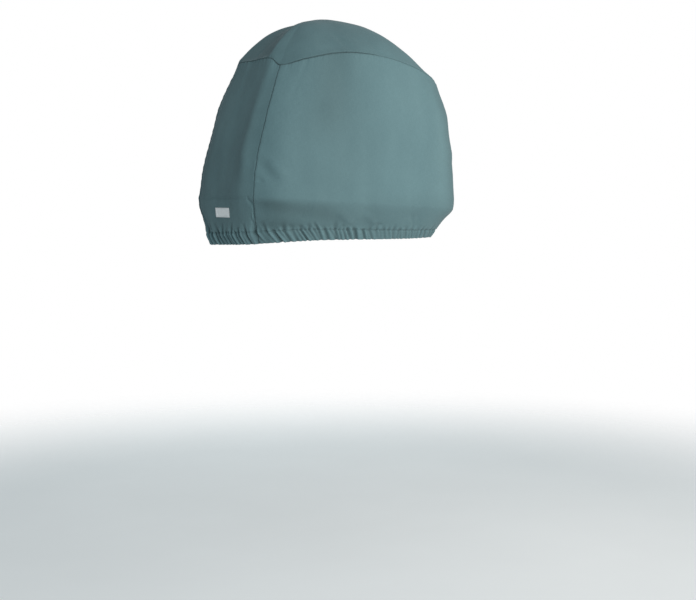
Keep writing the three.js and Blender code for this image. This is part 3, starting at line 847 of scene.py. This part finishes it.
def read_at(distance, lengths, grid):
    """One point of each row of a grid, where the row's length has reached a distance."""
    return np.array([[np.interp(distance, length, row[:, axis]) for axis in range(3)]
                     for length, row in zip(lengths, grid)])


def beside_seam(outer, seam):
    """The line of stitches on a wall beside its first or last seam, and the way out of it."""
    turn = slice(None, None, -1) if seam == "last" else slice(None)
    rows = slice(*np.searchsorted(HEIGHTS, [SEWN_FROM, SEWN_TO]))
    near, out = outer[rows, turn], outward_of(outer)[rows, turn]
    across = row_lengths(near, 1)
    return read_at(STITCH_INSET, across, near), read_at(STITCH_INSET, across, out)


def casing_line(outer):
    row = int(np.searchsorted(HEIGHTS, STITCH))
    return outer[row], outward_of(outer)[row]


def sewn_lines(name, lines, sizes, thread):
    """The stitches along some lines, as one plain mesh."""
    points = np.concatenate([to_row_frame(line) for line, _ in lines])
    ways = np.concatenate([out for _, out in lines])
    edges = []
    first = 0
    for line, _ in lines:
        edges += [(first + k, first + k + 1) for k in range(len(line) - 1)]
        first += len(line)
    guide = bpy.data.meshes.new(name + " lines")
    guide.from_pydata(points, edges, [])
    guide.attributes.new("out", "FLOAT_VECTOR", "POINT").data.foreach_set("vector", ways.ravel())
    piece = bpy.data.objects.new(name, guide)
    bpy.context.scene.collection.objects.link(piece)
    rule = piece.modifiers.new("stitches", "NODES")
    rule.node_group = STITCH_TREE
    values = dict(sizes, Thread=thread, Seed=7)
    for socket in STITCH_TREE.interface.items_tree:
        if socket.in_out == "INPUT" and socket.name in values:
            rule[socket.identifier] = values[socket.name]
    finished = piece.evaluated_get(bpy.context.evaluated_depsgraph_get())
    sewn = bpy.data.meshes.new_from_object(finished)
    piece.modifiers.remove(rule)
    piece.data = sewn
    bpy.data.meshes.remove(guide)
    return piece


STITCH_TREE = stitch_tree()
STITCH_INSET, SEWN_FROM, SEWN_TO = 5, 1.05, 6.97
CANVAS_THICKNESS = 0.0009
SEAM_STITCH = {"Pitch": 0.0045, "Stitch Length": 0.0037, "Thread Radius": 0.00036, "Sink": 0.0004,
               "Bow": 0.0009}
teal_thread = thread_material("teal thread", (0.075, 0.15, 0.165, 1), (0.15, 0.26, 0.28, 1))


def sewn_panel(name, start, end, columns, topstitched=()):
    """A wall panel, stitched along its casing and beside the seams where it carries the stitches."""
    grid, painted_shade_and_wear, outer = wall_sheet(start, end, columns)
    cloth = cloth_piece(name + "_cloth", grid, painted_shade_and_wear, wall_uv(grid))
    cloth.data.materials.append(canvas)
    give_thickness(cloth, CANVAS_THICKNESS)
    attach(cloth, "root")
    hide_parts(name + "_panel")
    lines = [casing_line(outer)] + [beside_seam(outer, seam) for seam in topstitched]
    stitches = sewn_lines(name + "_stitches", lines, SEAM_STITCH, teal_thread)
    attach(stitches, "root")
    return cloth, stitches


aft_cloth, aft_stitches = sewn_panel("aft", 5, 7, columns=236)

# The two side panels, the largest pieces of the cover. They are cut as a mirrored pair from the
# same canvas, topstitched beside the seams to the aft and front panels, and share the casing.
for side, start, end in (("starboard", 1, 2), ("port", 4, 5)):
    side_cloth, side_stitches = sewn_panel(side, start, end, columns=338, topstitched=("first", "last"))

# The front panel, which closes the cover over the motor's front end. It is cut and sewn as the
# aft panel is, but stands nearly upright and has slacker gathers.
front_cloth, front_stitches = sewn_panel("front", 2, 4, columns=200)

# The crown, one rounded piece of canvas over the top of the motor. It is sewn to the tops of
# the four walls, and has a soft ridge over each aft corner where it is stretched to the seam.
CROWN_CREASES = [
    dict(line=[(-66, -150), (-37, -204)], depth=2.4, width=9),
    dict(line=[(-78, -140), (-52, -196)], depth=-1.6, width=9),
    dict(line=[(43, -172), (72, -206)], depth=2.2, width=9),
    dict(line=[(30, -172), (58, -204)], depth=-1.5, width=9),
    dict(line=[(-244, -136), (-211, -137)], depth=1.8, width=6),
    dict(line=[(-232, -151), (-191, -147)], depth=1.8, width=6),
    dict(line=[(-238, -144), (-200, -142)], depth=-1.6, width=5),
    dict(line=[(270, -40), (280, -52)], depth=1.6, width=8),
    dict(line=[(-60, 150), (-30, 204)], depth=2.4, width=9),
    dict(line=[(-250, 20), (-215, 12)], depth=1.6, width=10),
]
HIP_LINE = [(-258, -98), (-228, -94), (-198, -88), (-168, -78), (-143, -66), (-100, -43), (-60, -22)]
HIP_RISE, HIP_OUTSIDE, HIP_INSIDE = 11, 75, 30
CROWN_REACH, CREST_START = 300, 0.4
CREST_SWELL = dict(x=12, y=0, depth=-2.5, width=45)
HIP_HOLLOW = dict(x=-92, y=-38, depth=7, width=52)
HIP_CURVE = np.polyfit([x for x, _ in HIP_LINE], [y for _, y in HIP_LINE], 3)


def hip_y(x):
    """Where the ridge over the starboard aft corner runs, as a smooth curve in plan."""
    return np.polyval(HIP_CURVE, np.clip(x, HIP_LINE[0][0], HIP_LINE[-1][0]))


HIP_PATH = [(x, hip_y(x)) for x in np.linspace(HIP_LINE[0][0], HIP_LINE[-1][0], 34)]


def away_from_line(points, line):
    """The distance in plan to a line of several stretches, and the share of it passed."""
    best = np.full(points.shape[:-1], 1e9)
    passed = 0 * best
    count = len(line) - 1
    for k in range(count):
        start = np.array(line[k], float)
        run = np.array(line[k + 1], float) - start
        on = np.clip((points[..., :2] - start) @ run / (run @ run), 0, 1)
        away = np.linalg.norm(points[..., :2] - start - on[..., None] * run, axis=-1)
        passed = np.where(away < best, (k + on) / count, passed)
        best = np.minimum(best, away)
    return best, passed


def round_hollow(points, hollow):
    away = np.hypot(points[..., 0] - hollow["x"], points[..., 1] - hollow["y"])
    return hollow["depth"] * hump(away, hollow["width"])


def crown_places():
    """Columns round the crown, closer together at the ridges over the aft corners."""
    even = np.linspace(0, 6, 340, endpoint=False)
    close = np.linspace(-0.12, 0.16, 44)
    ridges = np.concatenate([HIP + close, 6 - HIP - close])
    far = (np.abs(even - HIP - 0.02) > 0.15) & (np.abs(even - 6 + HIP + 0.02) > 0.15)
    return np.sort(np.concatenate([even[far], ridges]))


def crown_detail(at, scales, points, from_seam):
    """How far the dressed crown stands off the solid's crown."""
    off = undulation(points) * smooth(from_seam / 30)
    off = off + seam_pucker(from_seam, top_run(at)[None, :])
    off = off - seam_groove(from_seam) * crown_seam_depth(at)
    for side in (1, -1):
        plan = points * np.array([1, side, 1])
        away, passed = away_from_line(plan, HIP_PATH)
        rise = HIP_RISE * smooth(from_seam / 14) * (1 - smooth((passed - 0.3) / 0.7))
        outside = plan[..., 1] < hip_y(plan[..., 0])
        off = off + rise * (np.exp(-away / np.where(outside, HIP_OUTSIDE, HIP_INSIDE)) - 0.3)
        off = off - round_hollow(plan, HIP_HOLLOW)
    off = off - round_hollow(points, CREST_SWELL)
    for crease in CROWN_CREASES:
        away, passed = away_from_line(points, crease["line"])
        ends = np.sin(np.pi * np.clip(passed, 0.12, 0.88)) ** 0.7
        off = off - crease["depth"] * ends * hump(away, crease["width"])
    return off


crown_at = crown_places()
crown_scales = np.concatenate([1 - np.array([0, 0.8, 1.7, 2.7, 4.0, 5.8, 8.2]) / CROWN_REACH,
                               np.linspace(0.962, 0.02, 66), [0.008]])
crown_solid = crown_points(crown_at, crown_scales)
crown_normal = crown_normals(crown_at, crown_scales, 0.04)
upright = smooth((CREST_START - crown_scales) / 0.2)[:, None, None]
crown_normal = crown_normal * (1 - upright) + np.array([0, 0, 1]) * upright
crown_climb = row_lengths(crown_solid, 0)
crown_outer = crown_solid + crown_normal * crown_detail(
    crown_at, crown_scales, crown_solid, crown_climb)[..., None]
root, inward = crown_root(crown_at)
crown_outer[0] = root
fins = [root + inward * FIN * share + np.array([0, 0, FIN_DROP * share]) for share in (1, 0.5)]
crown_grid = np.concatenate([fins, crown_outer])
# Painted shade on the crown: darker towards the aft and darkest on the facet inside each hip ridge, with
# painted light towards the front.
crown_painted_light_and_shade = 0.35 * smooth((crown_solid[..., 0] + 20) / 150) - 0.12
inside = -hip_y(crown_solid[..., 0]) - np.abs(crown_solid[..., 1])
aft_facet_painted_shade = smooth(inside / 6) * smooth((-60 - crown_solid[..., 0]) / 40)
crown_painted_light_and_shade = crown_painted_light_and_shade - 0.3 * aft_facet_painted_shade
# The crown seam is darker too, partly dust and partly painted shade of its groove.
crown_painted_shade_and_dust = np.clip(crown_painted_light_and_shade - seam_dust_and_shade(crown_at) * hump(crown_climb, SEAM_DUST_AND_SHADE_REACH), -1, 1)
crown_painted_shade_and_dust = np.pad(crown_painted_shade_and_dust, ((2, 0), (0, 0)), mode="edge")
reach = row_lengths(crown_grid[::-1], 0)[::-1]
outward = crown_grid[..., :2] - np.array([CREST_X, 0])
crown_uv = outward / size_of(outward) * reach[..., None] / 1000
crown_cloth = cloth_piece("crown_cloth", crown_grid, crown_painted_shade_and_dust, crown_uv, closed=True)
crown_cloth.data.materials.append(canvas)
give_thickness(crown_cloth, CANVAS_THICKNESS)
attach(crown_cloth, "root")
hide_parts("crown_panel")


def above_crown_seam():
    """The closed line of stitches on the crown above its seam, and the way out of it."""
    ring = np.concatenate([crown_outer, crown_outer[:, :2]], 1)
    climb = row_lengths(ring, 0).T[1:]
    return [read_at(STITCH_INSET, climb, grid.swapaxes(0, 1)[1:]) for grid in (ring, outward_of(ring))]


crown_stitches = sewn_lines("crown_stitches", [above_crown_seam()], SEAM_STITCH, teal_thread)
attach(crown_stitches, "root")

# The label, a narrow woven tape in white, folded under at both ends and sewn on its four sides
# to the aft panel, a hand's width above the hem. It is left blank.
LABEL_WIDTH, LABEL_HEIGHT, LABEL_MIDDLE = 92, 29, 96
FOLDED_END, TAPE_THICKNESS = 7, 0.0006
across = np.linspace(0, LABEL_WIDTH, 70)[None, :]
up = np.linspace(0, LABEL_HEIGHT, 26)[:, None]
label_at = 6 + (across[0] - LABEL_WIDTH / 2) / RINGS[2]["marks"][1]
label_z = LABEL_MIDDLE + up[:, 0] - LABEL_HEIGHT / 2
label_heights = np.interp(label_z, [LEVELS[k]["z_aft"] for k in (1, 2, 3)], (1, 2, 3))
far = np.full((len(label_z), len(label_at)), 200.0)
label_base, label_normal = dressed_wall(label_at, label_heights, far, far)
from_end = np.minimum(across, LABEL_WIDTH - across)
edge = np.minimum(from_end, np.minimum(up, LABEL_HEIGHT - up))
folded = 0.35 * (1 - smooth((from_end - FOLDED_END) / 1.5))
lift = 1.0 + folded - 0.35 * hump(edge - 2.4, 0.8) - 0.3 * np.exp(-edge / 0.5)
label_grid = label_base + label_normal * lift[..., None]
label_uv = np.stack(np.broadcast_arrays(across, up), -1) / 1000
label_tape = cloth_piece("label_tape", label_grid, np.clip(-np.exp(-edge / 1.5), -1, 1), label_uv)


def tape_material():
    """Smooth white tape with fine cross ribs, greyed a little at its edges."""
    material, nodes = new_material("white woven tape")
    cloth = nodes.cloth()
    cross_ribs = nodes.ribs(cloth, 520.0, "Y", distortion=0.4)
    weave = nodes.math("MULTIPLY_ADD", nodes.ribs(cloth, 900.0, "X"), 0.4, cross_ribs)
    dirt = nodes.math("MULTIPLY_ADD", nodes.noise(nodes.place(), 90.0, 5.0), 0.5, nodes.painted_shade_and_wear())
    tone = nodes.ranged(dirt, 0.0, 1.0, from_max=0.3)
    nodes.surface({
        "Base Color": nodes.colour_between(tone, (0.84, 0.85, 0.85, 1), (0.96, 0.97, 0.97, 1)),
        "Roughness": 0.4, "Normal": nodes.bump(weave, 0.5, 0.0001), "Sheen Weight": 0.5,
        "Sheen Roughness": 0.3})
    return material


label_tape.data.materials.append(tape_material())
give_thickness(label_tape, TAPE_THICKNESS)
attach(label_tape, "root")
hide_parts("label")
border = [np.concatenate([grid[2, 2:-2], grid[3:-3, -3], grid[-3, -3:1:-1], grid[-4:1:-1, 2]])
          for grid in (label_grid, outward_of(label_grid))]
white_thread = thread_material("white thread", (0.55, 0.57, 0.57, 1), (0.85, 0.86, 0.85, 1))
LABEL_STITCH = {"Pitch": 0.0028, "Stitch Length": 0.0022, "Thread Radius": 0.0002, "Sink": 0.0002,
                "Bow": 0.0005}
label_stitches = sewn_lines("label_stitches", [border], LABEL_STITCH, white_thread)
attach(label_stitches, "root")

# The picture: a round of pale floor far below the hanging cover, and soft light that is
# strongest from the front of the starboard side and weak behind, as in a white studio.
floor_mesh = bpy.data.meshes.new("floor")
floor_mesh.from_pydata([(-3, -3, -1.6), (3, -3, -1.6), (3, 3, -1.6), (-3, 3, -1.6)], [], [(0, 1, 2, 3)])
floor = bpy.data.objects.new("floor", floor_mesh)
bpy.context.scene.collection.objects.link(floor)
paving, nodes = new_material("pale floor")
ground = nodes.place()
level = nodes.add("ShaderNodeVectorMath", {0: ground, 1: (1, 1, 0)}, operation="MULTIPLY")
away = nodes.add("ShaderNodeVectorMath", {0: level.outputs["Vector"]}, operation="LENGTH")
edge = nodes.ranged(away.outputs["Value"], 1.0, 0.0, from_min=1.1, from_max=2.9,
                    interpolation_type="SMOOTHSTEP")
tone = nodes.ranged(nodes.noise(ground, 3.0, 2.0), 0.84, 0.88)
nodes.surface({"Base Color": tone, "Roughness": 0.9, "Alpha": edge})
floor.data.materials.append(paving)


def soft_light(name, toward, distance, size, colour, watts):
    """A square panel of light, `distance` metres away from the cover along `toward`."""
    data = bpy.data.lights.new(name, "AREA")
    data.shape = "SQUARE"
    data.size = size
    data.energy = watts
    data.color = colour
    lamp = bpy.data.objects.new(name, data)
    bpy.context.scene.collection.objects.link(lamp)
    way = Vector(toward).normalized()
    lamp.location = Vector((-CREST_X / 1000, 0, -0.35)) + way * distance
    lamp.rotation_euler = way.to_track_quat("Z", "Y").to_euler()


soft_light("window light", (-0.17, -0.97, 0.14), 5.0, 2.0, (1, 0.97, 0.94), 140)
soft_light("fill light", (0.4, 0.9, 0.1), 4.5, 2.5, (0.94, 1, 1), 75)
soft_light("key light", (0.62, -0.77, 0.12), 1.7, 0.9, (1, 0.9, 0.82), 9)

world = bpy.data.worlds.new("white studio")
bpy.context.scene.world = world
world.use_nodes = True
nodes = Nodes(world.node_tree)
way = nodes.add("ShaderNodeTexCoord").outputs["Generated"]
toward = nodes.add("ShaderNodeVectorMath", {0: way, 1: (-0.1, -0.8, 0.59)}, operation="DOT_PRODUCT")
strength = nodes.ranged(toward.outputs["Value"], 0.12, 0.54, from_min=-1.0)
seen = nodes.add("ShaderNodeLightPath").outputs["Is Camera Ray"]
either = nodes.add("ShaderNodeMix", {"Factor": seen, "A": strength, "B": 1.0})
tint = nodes.colour_between(seen, (0.86, 1.0, 1.06, 1), (1, 1, 1, 1))
glow = nodes.add("ShaderNodeBackground", {"Color": tint, "Strength": either.outputs["Result"]})
nodes.add("ShaderNodeOutputWorld", {"Surface": glow.outputs["Background"]})

scene = bpy.context.scene
scene.view_settings.view_transform = "Standard"
# The camera stands level with the cover's lower part and 31.5 degrees aft of its starboard beam.
# It points a little forward of the cover and down. Its lens is given in pixels of the picture.
LENS_PIXELS, PICTURE_WIDTH = 1250, 696
FORWARD_PIXELS, DOWN_PIXELS = 22, 100
CAMERA_DISTANCE, CAMERA_Z = 4, 0.134
azimuth = math.radians(31.5)
aim = azimuth + math.atan(FORWARD_PIXELS / LENS_PIXELS)
tilt = math.atan(DOWN_PIXELS / LENS_PIXELS)
ahead = Vector((math.sin(aim) * math.cos(tilt), math.cos(aim) * math.cos(tilt), -math.sin(tilt)))
right = Vector((math.cos(aim), -math.sin(aim), 0))
above = right.cross(ahead)
lens = bpy.data.cameras.new("camera")
lens.sensor_width = 36
lens.lens = LENS_PIXELS / PICTURE_WIDTH * lens.sensor_width
lens.clip_end = 200
camera = bpy.data.objects.new("camera", lens)
scene.collection.objects.link(camera)
stand = Vector((-CREST_X / 1000 - math.sin(azimuth) * CAMERA_DISTANCE,
                -math.cos(azimuth) * CAMERA_DISTANCE, CAMERA_Z - (CREST_Z - CREST_CLOTH) / 1000))
turn = Matrix((right, above, -ahead)).transposed().to_4x4()
camera.matrix_world = Matrix.Translation(stand) @ turn
scene.camera = camera
